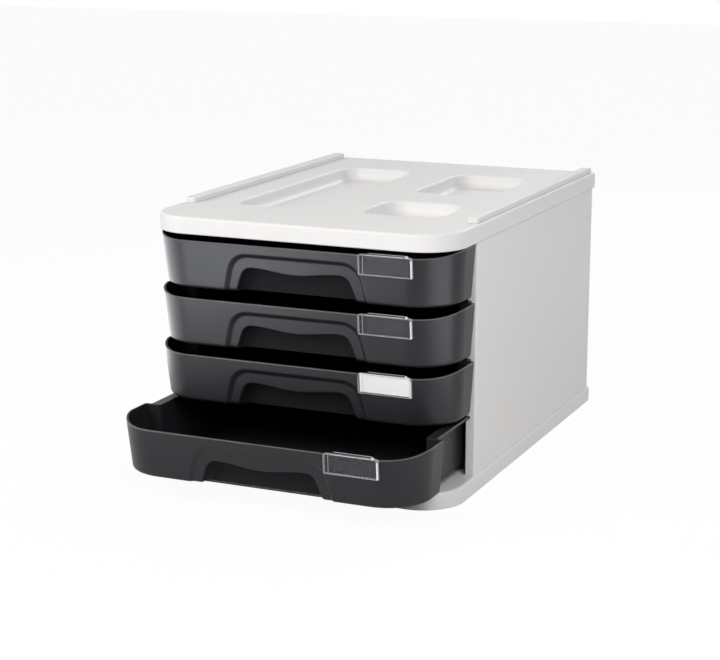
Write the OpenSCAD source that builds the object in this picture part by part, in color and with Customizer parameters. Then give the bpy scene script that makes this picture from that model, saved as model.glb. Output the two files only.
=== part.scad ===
// Letter tray stack: a pale housing that carries four dark sliding drawers.
// X points right, Y to the back and Z up. The origin is the centre of the base's footprint,
// on the surface that the housing stands on. Drawer 1 is the top one. Drawer 4 stands open.

/* [Housing] */
// Width of the top and base plates
housing_w = 285; // [275:1:320]
// Depth of the top and base plates
housing_d = 399; // [360:1:440]
// Height of the rim of each plate
plate_h = 15; // [14:0.5:20]
// Thickness of the plates' skin and rim
plate_skin = 2.5; // [2:0.1:3]
// Radius of the plates' and drawers' front corners, in plan
front_corner_r = 39; // [25:1:50]
// Radius of the plates' rear corners, in plan
rear_corner_r = 4; // [2:0.5:8]
// Thickness of the side panels
panel_t = 9.2; // [8.5:0.1:12]
// How far the side panels stand in from the plates' edges
panel_inset = 1.2; // [0.5:0.1:3]
// From the plates' front edge to the side panels' front faces
panel_setback = 66; // [60:1:90]
// How far the plates reach past the side panels at the back
rear_lip = 7; // [3:0.5:12]
// Thickness of the back panel
back_t = 2.5; // [2:0.1:4]
// How deep the back panel sits in each side panel
back_seat = 3; // [2:0.1:4]
// Thickness of the ribs under the plates
rib_t = 1.8; // [1.2:0.1:2.5]
// Clear height under the base plate's ribs, for the rails of a unit below
rib_lift = 6; // [5.5:0.1:7]

/* [Stacking rails] */
// Width of a rail
rail_w = 10; // [7:0.5:11]
// Height of a rail above the top plate
rail_h = 5; // [3:0.1:5.2]
// From the plate's edge to the rail, which is the rim of the unit above and its clearance
rail_edge = 2.8; // [2.6:0.1:4]
// From the plates' front edge to the front end of a rail
rail_setback = 69; // [50:1:100]
// Radius of the rails' ends, in plan
rail_end_r = 2; // [1:0.1:3]

/* [Top recesses] */
// Depth of the recesses
recess_depth = 12; // [6:0.5:12]
// From the plate's side edges to the recesses
recess_margin = 44.5; // [40:0.5:60]
// Half the width of the strip between the left and right recesses
recess_mid = 24; // [15:0.5:30]
// From the plate's front edge to the recesses
recess_front = 80; // [60:1:100]
// From the plate's rear edge to the recesses
recess_rear = 68; // [50:1:90]
// Length of the front right recess
recess_short = 74; // [60:1:90]
// Length of the rear right recess
recess_long = 124; // [90:1:130]
// Radius of the recesses' corners
recess_corner_r = 14; // [6:1:20]

/* [Drawers] */
// Height of the drawers' sides
drawer_side_h = 46.8; // [40:0.1:60]
// Clear height between two drawers
drawer_gap = 3.7; // [3:0.1:8]
// Clear height between the base plate and the lowest drawer
floor_gap = 5.9; // [2:0.1:10]
// Clear height between the top drawer and the top plate
top_gap = 0.8; // [0.5:0.1:5]
// Thickness of the drawers' walls
drawer_wall = 2.2; // [1.6:0.1:3]
// Thickness of the drawers' floors
drawer_floor = 2.2; // [1.6:0.1:3]
// How far the front edge is lower than the sides
front_dip = 4.6; // [0.5:0.1:8]
// Depth over which the rim climbs from the front edge to the sides
rim_climb = 34; // [20:1:50]
// Depth of the wide front bay
bay_depth = 61.5; // [55:0.5:62]
// From the plates' side edges to the drawers' front corners
bay_inset = 1; // [0.5:0.1:3]
// From the plates' front edge to the drawers' fronts
front_setback = 0.3; // [0:0.1:3]
// How far the bay's sides lean in at the bottom
side_taper = 3.4; // [0:0.1:5]
// How far the front leans back at the bottom
front_taper = 4; // [1:0.1:6]
// Rounding of the bay's bottom edge
bottom_round = 3; // [1:0.1:4]
// Radius of the bay's rear corners, in plan
bay_rear_r = 2.5; // [1:0.1:4]
// Clearance between the trays and the side panels
tray_clearance = 4.9; // [2:0.1:8]
// Clearance between the trays and the back panel
rear_clearance = 6; // [2:0.5:20]
// How far the trays' rear walls are lower than their sides
tray_rear_dip = 6; // [0:0.5:20]
// Radius of the trays' bottom edges
tray_edge_r = 4; // [2.5:0.1:6]
// How far the lowest drawer stands open
drawer_open = 69; // [0:1:200]

/* [Drawer runners] */
// Thickness of the flanges that carry the drawers
flange_t = 2.2; // [1.6:0.1:3]
// Depth of the grooves in the side panels
groove_depth = 4; // [3:0.1:4.5]
// Sideways clearance between a flange and its groove
flange_side_gap = 0.9; // [0.4:0.1:1.2]
// Clearance under a flange
flange_lower_gap = 0.3; // [0.2:0.05:0.5]
// Clearance above a flange
flange_upper_gap = 0.5; // [0.3:0.05:0.8]
// Height of the stop lug under a flange, and of the tooth that it meets
stop_lug_h = 1.5; // [1:0.1:2]
// Length of a stop lug and of its tooth
stop_len = 5; // [3:0.5:8]
// How far a drawer pulls out
drawer_travel = 240; // [150:1:260]

/* [Finger pockets] */
// Width of a pocket's mouth at the bottom
mouth_w = 113; // [90:1:120]
// Width of a pocket's mouth near the top
mouth_top_w = 97; // [70:1:104]
// Height of a pocket's mouth at its ends
mouth_h = 21.6; // [16:0.1:25]
// How far the lip hangs lower in the middle
lip_sag = 3.6; // [0:0.1:6]
// Size of the mouth's rounded shoulders
mouth_shoulder = 8; // [4:0.5:12]
// Depth of a pocket
pocket_depth = 18; // [14:0.5:25]
// Radius of a pocket's rear corners, in plan
pocket_corner_r = 10; // [4:1:14]
// Width of the arch pressed in round the mouth, beside it
surround_side = 12; // [8:0.5:16]
// Height of the pressed arch above the mouth's ends
surround_top = 13.2; // [10:0.1:15]
// Size of the pressed arch's rounded shoulders
surround_shoulder = 17; // [10:0.5:22]
// Depth of the pressed arch
surround_depth = 1.4; // [0.5:0.1:2]

/* [Label holders] */
// Width of a label holder
holder_w = 48.5; // [36:0.5:50]
// Height of a label holder below the drawer's edge
holder_h = 16.5; // [12:0.5:24]
// From the plates' side edge to the label holder's outer edge
holder_margin = 33.4; // [30:0.1:40]
// Thickness of the clear sheet
holder_sheet = 0.8; // [0.5:0.1:1.2]
// Thickness of the slot for the card
card_slot = 0.8; // [0.6:0.1:1.2]
// Width of the closed edges of the slot
holder_edge = 1.2; // [0.8:0.1:2]
// Width of the hook over the drawer's edge
hook_w = 36; // [20:1:44]
// Length of the hook's leg behind the drawer's edge
hook_leg = 8; // [5:0.5:10]
// Clearance between the holder and the drawer
holder_gap = 0.3; // [0.2:0.05:0.5]
// Thickness of the label card
card_t = 0.3; // [0.2:0.05:0.4]

/* [Fastenings] */
// Radius of a screw's shank
screw_r = 1.7; // [1.4:0.05:1.8]
// Length of a screw's shank in the side panel
screw_bite = 14; // [8:1:20]
// Radius of a screw's head
screw_head_r = 2.9; // [2.4:0.1:3]
// Height of a screw's head
screw_head_h = 2; // [1.5:0.1:2.4]
// Clearance round a screw's shank
screw_gap = 0.05; // [0.02:0.01:0.1]
// Clearance round a screw's head
screw_head_gap = 0.3; // [0.1:0.05:0.4]
// Thickness of the bosses round the screws' heads
boss_wall = 1.2; // [0.8:0.1:1.4]
// From the ends of the side panels to the outer screws
screw_end = 40; // [25:1:60]
// Length of the tongues that hold the top plate
tongue_len = 20; // [10:1:24]
// Height of the tongues
tongue_h = 8; // [4:0.5:10]

/* [Hidden] */
$fn = 64;

housing_colour = [0.86, 0.86, 0.85];
drawer_colour = [0.24, 0.24, 0.26];
clear_colour = [0.85, 0.9, 0.92, 0.5];
card_colour = [0.98, 0.98, 0.97];
screw_colour = [0.6, 0.6, 0.62];

drawers = 4;
over = 1; // how far a cut runs past a face
arch_steps = 8; // lines in each bend and in half the crown of an arch
hair = 0.02; // thickness of the slices that a tapered shape spans
hull_facets = 32; // facets of a full circle in a tapered shape

drawer_pitch = drawer_side_h + drawer_gap;
stack_h = drawers * drawer_side_h + (drawers - 1) * drawer_gap;
opening_h = floor_gap + stack_h + top_gap;
top_plate_z = plate_h + opening_h;
top_face_z = top_plate_z + plate_h;

front_y = -housing_d / 2;
back_y = housing_d / 2;
panel_outer_x = housing_w / 2 - panel_inset;
panel_inner_x = panel_outer_x - panel_t;
panel_mid_x = panel_outer_x - panel_t / 2;
panel_front_y = front_y + panel_setback;
panel_back_y = back_y - rear_lip;
panel_len = panel_back_y - panel_front_y;
back_panel_y = panel_back_y - back_t - over;

bay_w = housing_w - 2 * bay_inset;
tray_outer_x = panel_inner_x - tray_clearance;
tray_inner_x = tray_outer_x - drawer_wall;
drawer_front_y = front_y + front_setback;
drawer_len = back_panel_y - rear_clearance - drawer_front_y;
holder_x = housing_w / 2 - holder_margin - holder_w / 2;
flange_x = panel_inner_x + groove_depth - flange_side_gap;
flange_z = drawer_side_h - flange_t;
lean = atan(front_taper / drawer_side_h);
edge_z = drawer_side_h - front_dip / cos(lean); // the front edge, measured down the leaning face
tooth_z = flange_z - flange_lower_gap;
groove_z = tooth_z - stop_lug_h;
lug_w = groove_depth - flange_side_gap - 1;
// The lug comes this close to the tooth when the drawer is out by its travel
stop_gap = 0.3;
stop_lug_y = panel_front_y + stop_len + stop_gap + drawer_travel - drawer_front_y;

rail_outer_x = housing_w / 2 - rail_edge;
rail_x = rail_outer_x - rail_w / 2;
rail_front_y = front_y + rail_setback;
screw_row = 3; // screws on each side
screw_ys = [for (i = [0:screw_row - 1])
    panel_front_y + screw_end + i * (panel_len - 2 * screw_end) / (screw_row - 1)];
boss_r = screw_head_r + screw_head_gap + boss_wall;
screw_seat_z = rib_lift + screw_head_h;

// The plates' ribs stand at an even pitch, no further apart than a tenth of the housing's depth
rib_span_x = housing_w - 2 * plate_skin;
rib_span_y = housing_d - 2 * plate_skin;
ribs_x = ceil(rib_span_x / (housing_d / 10));
ribs_y = ceil(rib_span_y / (housing_d / 10));
rib_pitch_x = rib_span_x / ribs_x;
rib_pitch_y = rib_span_y / ribs_y;
top_seat_x = panel_inner_x + groove_depth;
// Each tongue stands midway between two ribs of the top plate
tongue_ys = [for (share = [0.15, 0.5, 0.85]) let (first = front_y + plate_skin)
    first + (floor((panel_front_y + share * panel_len - first) / rib_pitch_y) + 0.5) * rib_pitch_y];

function drawer_z(n) = plate_h + floor_gap + (drawers - n) * drawer_pitch;
function drawer_out(n) = n == drawers ? drawer_open : 0;
function blend(a, b, t) = a + (b - a) * t;
// A corner rounded as a quadratic curve from a, by way of b, to c
function bend(a, b, c, n) =
    [for (i = [0:n]) let (t = i / n) blend(blend(a, b, t), blend(b, c, t), t)];

// ---------------------------------------------------------------- plan outlines

// A rectangle with its own front and rear corner radii
module plan_outline(w, y0, y1, front_r, rear_r) {
    for (s = [-1, 1]) {
        translate([s * (w / 2 - front_r), y0 + front_r]) intersection() {
            circle(front_r);
            translate([-front_r, -front_r]) square([2 * front_r, front_r + hair]);
        }
        translate([s * (w / 2 - rear_r), y1 - rear_r]) circle(rear_r);
    }
    translate([-w / 2 + front_r, y0]) square([w - 2 * front_r, front_r + hair]);
    translate([-w / 2, y0 + front_r]) square([w, y1 - rear_r - y0 - front_r]);
    translate([-w / 2 + rear_r, y1 - rear_r - hair]) square([w - 2 * rear_r, rear_r + hair]);
}

module plate_outline(inset) {
    plan_outline(housing_w - 2 * inset, front_y + inset, back_y - inset,
        front_corner_r - inset, max(rear_corner_r - inset, 0.5));
}

// A box with rounded corners in plan, from its lowest corner
module round_box(size, r) {
    linear_extrude(size[2]) {
        translate([r, 0]) square([size[0] - 2 * r, size[1]]);
        translate([0, r]) square([size[0], size[1] - 2 * r]);
        for (x = [r, size[0] - r], y = [r, size[1] - r]) translate([x, y]) circle(r);
    }
}

// ---------------------------------------------------------------- plates

module rib_grid(z, h) {
    intersection() {
        union() {
            for (i = [1:ribs_x - 1])
                translate([-rib_span_x / 2 + i * rib_pitch_x - rib_t / 2, front_y, z])
                    cube([rib_t, housing_d, h]);
            for (j = [1:ribs_y - 1])
                translate([-housing_w / 2, front_y + plate_skin + j * rib_pitch_y - rib_t / 2, z])
                    cube([housing_w, rib_t, h]);
        }
        translate([0, 0, z]) linear_extrude(h) plate_outline(plate_skin / 2);
    }
}

// Long ribs that the side panels' edges bear on, from x outwards
module panel_seats(x, z, h) {
    for (s = [-1, 1]) translate([s * (x + rib_t / 2) - rib_t / 2, panel_front_y, z])
        cube([rib_t, panel_len, h]);
}

// The base: a skin on a deep rim, ribbed underneath
module base_plate() {
    deep = plate_h - plate_skin;
    color(housing_colour) difference() {
        union() {
            difference() {
                linear_extrude(plate_h) plate_outline(0);
                translate([0, 0, -over]) linear_extrude(deep + over) plate_outline(plate_skin);
            }
            rib_grid(rib_lift, deep - rib_lift + hair);
            panel_seats(panel_inner_x, rib_lift, deep - rib_lift + hair);
            for (s = [-1, 1], y = screw_ys) translate([s * panel_mid_x, y, rib_lift])
                cylinder(deep - rib_lift + hair, r = boss_r);
        }
        for (s = [-1, 1], y = screw_ys) translate([s * panel_mid_x, y, 0]) {
            cylinder(plate_h + over, r = screw_r + screw_gap);
            cylinder(screw_seat_z, r = screw_head_r + screw_head_gap);
        }
    }
}

// Places a recess: its left front corner and its size, in plan
recess_side = housing_w / 2 - recess_margin;
recess_w = recess_side - recess_mid;
recess_tail = back_y - recess_rear;
recesses = [
    [[-recess_side, front_y + recess_front], [recess_w, recess_tail - front_y - recess_front]],
    [[recess_mid, front_y + recess_front], [recess_w, recess_short]],
    [[recess_mid, recess_tail - recess_long], [recess_w, recess_long]]
];

// The top: a skin on a deep rim, with three moulded recesses
module top_plate() {
    deep = plate_h - plate_skin;
    color(housing_colour) translate([0, 0, top_plate_z]) difference() {
        union() {
            difference() {
                linear_extrude(plate_h) plate_outline(0);
                translate([0, 0, -over]) linear_extrude(deep + over) plate_outline(plate_skin);
            }
            rib_grid(0, deep + hair);
            panel_seats(top_seat_x, 0, deep + hair);
            for (r = recesses)
                translate([r[0][0] - plate_skin, r[0][1] - plate_skin, deep - recess_depth])
                    round_box([r[1][0] + 2 * plate_skin, r[1][1] + 2 * plate_skin, recess_depth + hair],
                        recess_corner_r + plate_skin);
        }
        for (r = recesses)
            translate([r[0][0], r[0][1], plate_h - recess_depth])
                round_box([r[1][0], r[1][1], recess_depth + over], recess_corner_r);
    }
}

// ---------------------------------------------------------------- panels, rails, screws

// The right side panel, with a groove for each drawer, a slot for the back panel and tongues
// that stand between the top plate's rim and its long ribs
module side_panel() {
    tongue_x = top_seat_x + rib_t;
    color(housing_colour) difference() {
        union() {
            translate([panel_inner_x, panel_front_y, plate_h]) cube([panel_t, panel_len, opening_h]);
            for (y = tongue_ys)
                translate([tongue_x, y - tongue_len / 2, top_plate_z - hair])
                    cube([housing_w / 2 - plate_skin - tongue_x, tongue_len, tongue_h + hair]);
        }
        // The top groove is open upwards, and the top plate closes it
        for (n = [1:drawers]) translate([panel_inner_x - over, 0, drawer_z(n)]) {
            run = back_panel_y - panel_front_y - rear_clearance / 2;
            groove_top_z = n == 1 ? drawer_side_h + top_gap + over : drawer_side_h + flange_upper_gap;
            translate([0, panel_front_y - over, tooth_z])
                cube([groove_depth + over, run + over, groove_top_z - tooth_z]);
            translate([0, panel_front_y + stop_len, groove_z])
                cube([groove_depth + over, run - stop_len, groove_top_z - groove_z]);
        }
        translate([panel_inner_x - over, back_panel_y, plate_h - over])
            cube([back_seat + over, back_t, opening_h + 2 * over]);
        for (y = screw_ys) translate([panel_mid_x, y, plate_h - over])
            cylinder(screw_bite + over, r = screw_r + screw_gap);
    }
}

module back_panel() {
    w = 2 * (panel_inner_x + back_seat);
    color(housing_colour) translate([-w / 2, back_panel_y, plate_h]) cube([w, back_t, opening_h]);
}

module stacking_rail(side) {
    color(housing_colour) translate([side * rail_x - rail_w / 2, rail_front_y, top_face_z])
        round_box([rail_w, panel_back_y - rail_front_y, rail_h], rail_end_r);
}

// A screw under the base: the left row counts from the front, and then the right row
module base_screw(n) {
    side = n > screw_row ? 1 : -1;
    color(screw_colour) translate([side * panel_mid_x, screw_ys[(n - 1) % screw_row], screw_seat_z]) {
        translate([0, 0, -screw_head_h]) cylinder(screw_head_h, r = screw_head_r);
        translate([0, 0, -hair]) cylinder(plate_h - screw_seat_z + screw_bite - over + hair, r = screw_r);
    }
}

// ---------------------------------------------------------------- drawers

// A slice of the bay, set in at the sides and front, and all round at the same time
module bay_slice(z, side_in, front_in, all_in) {
    translate([0, 0, z]) linear_extrude(hair)
        plan_outline(bay_w - 2 * (side_in + all_in), front_in + all_in, bay_depth - all_in,
            front_corner_r - all_in, bay_rear_r, $fn = hull_facets);
}

// The leaning body of the bay between two heights, set in by a wall
module bay_body(z0, z1, all_in, round) {
    function share(z) = 1 - z / drawer_side_h;
    hull() {
        bay_slice(z1 - hair, side_taper * share(z1), front_taper * share(z1), all_in);
        bay_slice(z0 + round, side_taper * share(z0 + round), front_taper * share(z0 + round), all_in);
        bay_slice(z0, side_taper * share(z0), front_taper * share(z0), all_in + round);
    }
}

// A tray's cross-section: a rounded bottom and straight sides
module tray_section(half_w, z0, z1, r) {
    translate([-half_w, z0 + r]) square([2 * half_w, z1 - z0 - r]);
    translate([-half_w + r, z0]) square([2 * half_w - 2 * r, r + hair]);
    for (s = [-1, 1]) translate([s * (half_w - r), z0 + r]) circle(r);
}

// Carries a flat shape in X and Z along Y
module along_y(y0, y1) {
    translate([0, y1, 0]) rotate([90, 0, 0]) linear_extrude(y1 - y0) children();
}

// Turns what is drawn against an upright front so that it leans as the front does
module on_front() {
    translate([0, 0, drawer_side_h]) rotate([lean, 0, 0])
        translate([0, 0, -drawer_side_h]) children();
}

// An arch: straight legs that lean in, rounded shoulders and a crown that sags in the middle
module arch(foot_w, crown_w, h, shoulder, sag, foot_z) {
    leg = blend([foot_w / 2, 0], [crown_w / 2, h], 1 - shoulder / h);
    crown = [crown_w / 2 - shoulder, h];
    right = concat([[foot_w / 2, foot_z], [foot_w / 2, 0]],
        bend(leg, [crown_w / 2, h], crown, arch_steps),
        [for (i = [1:arch_steps]) let (t = i / arch_steps) [crown[0] * (1 - t), h - sag * sin(90 * t)]]);
    left = [for (i = [len(right) - 2:-1:0]) [-right[i][0], right[i][1]]];
    polygon(concat(right, left));
}

// The pocket's space, grown by a wall for its shell
module pocket(grow, foot_z) {
    intersection() {
        along_y(-over, pocket_depth + grow)
            arch(mouth_w + 2 * grow, mouth_top_w + 2 * grow, mouth_h + grow, mouth_shoulder,
                lip_sag, foot_z);
        translate([-mouth_w / 2 - grow, -pocket_corner_r, foot_z])
            round_box([mouth_w + 2 * grow, pocket_depth + pocket_corner_r + grow,
                mouth_h + grow - foot_z + over], pocket_corner_r + grow);
    }
}

module surround(y0, y1, foot_z) {
    along_y(y0, y1) arch(mouth_w + 2 * surround_side, mouth_top_w + 2 * surround_side,
        mouth_h + surround_top, surround_shoulder, 0, foot_z);
}

module drawer_body() {
    difference() {
        union() {
            bay_body(0, drawer_side_h, 0, bottom_round);
            along_y(bay_depth - bay_rear_r - over, drawer_len)
                tray_section(tray_outer_x, 0, drawer_side_h, tray_edge_r);
            translate([-flange_x, bay_depth - over, flange_z])
                cube([2 * flange_x, drawer_len - bay_depth + over, flange_t]);
            for (s = [-1, 1])
                translate([s * (flange_x - lug_w / 2) - lug_w / 2, stop_lug_y, flange_z - stop_lug_h])
                    cube([lug_w, stop_len, stop_lug_h + hair]);
        }
        difference() {
            bay_body(drawer_floor, drawer_side_h + over, drawer_wall, bottom_round - 1);
            // The wall is set back behind the pressed arch, and the pocket's shell stands in the bay
            intersection() {
                on_front() surround(-over, drawer_wall + surround_depth, -over);
                translate([-bay_w / 2, -over, 0]) cube([bay_w, 2 * pocket_depth, drawer_side_h]);
            }
            pocket(drawer_wall, 0);
        }
        along_y(bay_depth / 2, drawer_len - drawer_wall)
            tray_section(tray_inner_x, drawer_floor, drawer_side_h + over, tray_edge_r - 1.5);
        // The rim is low along the front and climbs at the corners
        translate([-bay_w / 2 - over, 0, 0]) rotate([90, 0, 90]) linear_extrude(bay_w + 2 * over)
            polygon([[-over, drawer_side_h - front_dip], [over, drawer_side_h - front_dip],
                [over + rim_climb, drawer_side_h], [over + rim_climb, drawer_side_h + 2 * over],
                [-over, drawer_side_h + 2 * over]]);
        translate([-tray_inner_x, drawer_len - drawer_wall - over, drawer_side_h - tray_rear_dip])
            cube([2 * tray_inner_x, drawer_wall + 2 * over, tray_rear_dip + over]);
        on_front() surround(-bottom_round, surround_depth, -over);
        pocket(0, -over);
    }
}

module at_drawer(n) {
    translate([0, drawer_front_y - drawer_out(n), drawer_z(n)]) children();
}

module drawer(n) {
    at_drawer(n) color(drawer_colour) drawer_body();
}

// ---------------------------------------------------------------- labels

// Against the front, Y is 0 on the face and the holder's back sheet stands clear of it
module holder_block(x0, x1, y0, y1, z0, z1) {
    translate([holder_x + x0, y0, z0]) cube([x1 - x0, y1 - y0, z1 - z0]);
}

back_sheet_y = -holder_gap - holder_sheet;
slot_y = back_sheet_y - card_slot;
window_y = slot_y - holder_sheet;
holder_top_z = edge_z + holder_gap + holder_sheet;
holder_foot_z = edge_z - holder_h;
hook_y = drawer_wall + holder_gap;

module label_holder(n) {
    half = holder_w / 2;
    at_drawer(n) color(clear_colour) on_front() difference() {
        union() {
            holder_block(-half, half, window_y, -holder_gap, holder_foot_z, holder_top_z);
            holder_block(-hook_w / 2, hook_w / 2, -holder_gap - hair, hook_y + holder_sheet,
                edge_z + holder_gap, holder_top_z);
            holder_block(-hook_w / 2, hook_w / 2, hook_y, hook_y + holder_sheet,
                edge_z - hook_leg, holder_top_z);
        }
        holder_block(-half + holder_edge, half - holder_edge, slot_y, back_sheet_y,
            holder_foot_z + holder_edge, holder_top_z + over);
    }
}

module label_card() {
    half = holder_w / 2 - holder_edge - holder_gap;
    mid = (slot_y + back_sheet_y) / 2;
    at_drawer(3) color(card_colour) on_front()
        holder_block(-half, half, mid - card_t / 2, mid + card_t / 2,
            holder_foot_z + holder_edge, holder_top_z);
}

base_plate();
top_plate();
mirror([1, 0, 0]) side_panel();  // left_side_panel
side_panel();  // right_side_panel
back_panel();
stacking_rail(-1);  // left_stacking_rail
stacking_rail(1);  // right_stacking_rail
base_screw(1);  // base_screw_1
base_screw(2);  // base_screw_2
base_screw(3);  // base_screw_3
base_screw(4);  // base_screw_4
base_screw(5);  // base_screw_5
base_screw(6);  // base_screw_6
drawer(1);  // drawer_1
drawer(2);  // drawer_2
drawer(3);  // drawer_3
drawer(4);  // drawer_4
label_holder(1);  // label_holder_1
label_holder(2);  // label_holder_2
label_holder(3);  // label_holder_3
label_holder(4);  // label_holder_4
label_card();
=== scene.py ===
"""Letter tray stack: a pale housing with four charcoal drawers, built round its CAD frame.

All lengths are in metres in the CAD frame: X to the right, Y to the back, Z up. Shapes that
belong to a drawer are worked out with Y = 0 at its closed front's upper edge and Z = 0 at its
underside, and are then carried to the drawer's place.
"""

import math

import bmesh
import bpy
import numpy as np
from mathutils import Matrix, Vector
from mathutils.geometry import tessellate_polygon


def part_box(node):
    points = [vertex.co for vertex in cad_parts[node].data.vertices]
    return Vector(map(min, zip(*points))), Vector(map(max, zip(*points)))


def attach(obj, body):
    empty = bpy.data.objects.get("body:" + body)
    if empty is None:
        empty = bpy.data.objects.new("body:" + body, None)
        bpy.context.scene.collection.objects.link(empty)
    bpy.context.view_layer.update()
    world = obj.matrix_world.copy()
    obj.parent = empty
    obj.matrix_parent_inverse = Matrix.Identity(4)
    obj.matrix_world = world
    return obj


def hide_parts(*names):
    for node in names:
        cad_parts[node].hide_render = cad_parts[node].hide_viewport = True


bl_info = {
    "name": "Letter tray stack",
    "version": (1, 0, 0),
    "blender": (4, 5, 0),
    "location": "View3D > Sidebar > Tray stack",
    "description": "Builds and finishes a letter tray stack with four drawers",
    "category": "Add Mesh",
}

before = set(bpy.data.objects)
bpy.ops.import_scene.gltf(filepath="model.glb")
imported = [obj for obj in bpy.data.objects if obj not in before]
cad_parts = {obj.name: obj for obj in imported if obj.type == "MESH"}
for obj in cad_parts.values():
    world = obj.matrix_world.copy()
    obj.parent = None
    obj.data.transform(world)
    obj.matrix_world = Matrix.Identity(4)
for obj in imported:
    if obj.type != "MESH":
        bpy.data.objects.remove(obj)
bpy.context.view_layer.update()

MM = 0.001
LEAST = 0.3 * MM  # the least radius that a corner keeps when its outline is set in
STRIP = 0.5 * MM  # a flat strip between a rounding and the fill beside it
SLIM_STRIP = 0.4 * MM  # the same where there is less room
LEDGE = 1 * MM  # width of the strip round a skin's underside
BITE = 0.1 * MM  # how far one form reaches into the next, so that no gap shows
CLOSE = 1e-9  # rounding errors stay below this
CORNER_STEPS = 28  # points round a plate's front corner
HOUSING = "housing"
DRAWERS = (1, 2, 3, 4)
SCREWS = range(1, 7)
PLATE_LOW, PLATE_HIGH = (np.array(v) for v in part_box("top_plate"))
BASE_LOW, BASE_HIGH = (np.array(v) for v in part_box("base_plate"))
PANEL_LOW, PANEL_HIGH = (np.array(v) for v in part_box("right_side_panel"))


# ---------------------------------------------------------------- sizes and colours


def length(name, description, millimetres):
    """A size that a user can change, in metres."""
    return bpy.props.FloatProperty(
        name=name, description=description, default=millimetres * MM, min=0.0, unit="LENGTH"
    )


def colour(name, description, value):
    """A colour that a user can change."""
    return bpy.props.FloatVectorProperty(
        name=name, description=description, default=value, size=3, min=0.0, max=1.0, subtype="COLOR"
    )


def amount(name, description, value, top):
    """A plain number that a user can change."""
    return bpy.props.FloatProperty(
        name=name, description=description, default=value, min=0.0, max=top
    )


class TrayHousingSizes(bpy.types.PropertyGroup):
    """Sizes of the housing's plates, panels and rails."""

    skin: length("Skin", "Thickness of the plates' skin and rim", 2.5)
    front_radius: length("Front corners", "Radius of the plates' front corners in plan", 39)
    rear_radius: length("Rear corners", "Radius of the plates' rear corners in plan", 4)
    top_edge: length("Upper edge", "Rounding of a plate's upper edge", 2.4)
    low_edge: length("Lower edge", "Rounding of a plate's lower edge", 1)
    rib: length("Rib", "Thickness of the ribs under the plates", 1.8)
    rib_lift: length("Rib lift", "Clear height under the base plate's ribs", 6)
    recess_depth: length("Recess depth", "Depth of the recesses in the top", 12)
    recess_margin: length("Recess margin", "From the plate's sides to the recesses", 44.5)
    recess_middle: length("Recess middle", "Half the strip between the left and right recesses", 24)
    recess_front: length("Recess front", "From the plate's front to the recesses", 80)
    recess_rear: length("Recess rear", "From the plate's rear to the recesses", 68)
    recess_short: length("Short recess", "Length of the front right recess", 74)
    recess_long: length("Long recess", "Length of the rear right recess", 124)
    recess_corner: length("Recess corners", "Radius of the recesses' corners in plan", 18)
    recess_lip: length("Recess lip", "Rounding where a recess meets the top", 2.4)
    recess_foot: length("Recess foot", "Rounding at a recess's floor", 7)
    floor_margin: length("Floor margin", "From the base plate's edge to its shallow floor", 4.5)
    floor_depth: length("Floor depth", "Depth of the base plate's shallow floor", 1)
    panel_edge: length("Panel edge", "Rounding of the side panels' inner and rear edges", 0.9)
    panel_front: length("Panel front", "Rounding of the side panels' outer front edges", 2.2)
    seam: length("Seam", "Chamfer where a side panel meets a plate", 0.3)
    rail_edge: length("Rail edge", "Rounding of the stacking rails' upper edges", 1.3)
    rail_end: length("Rail ends", "Radius of the stacking rails' ends in plan", 1.4)


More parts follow.
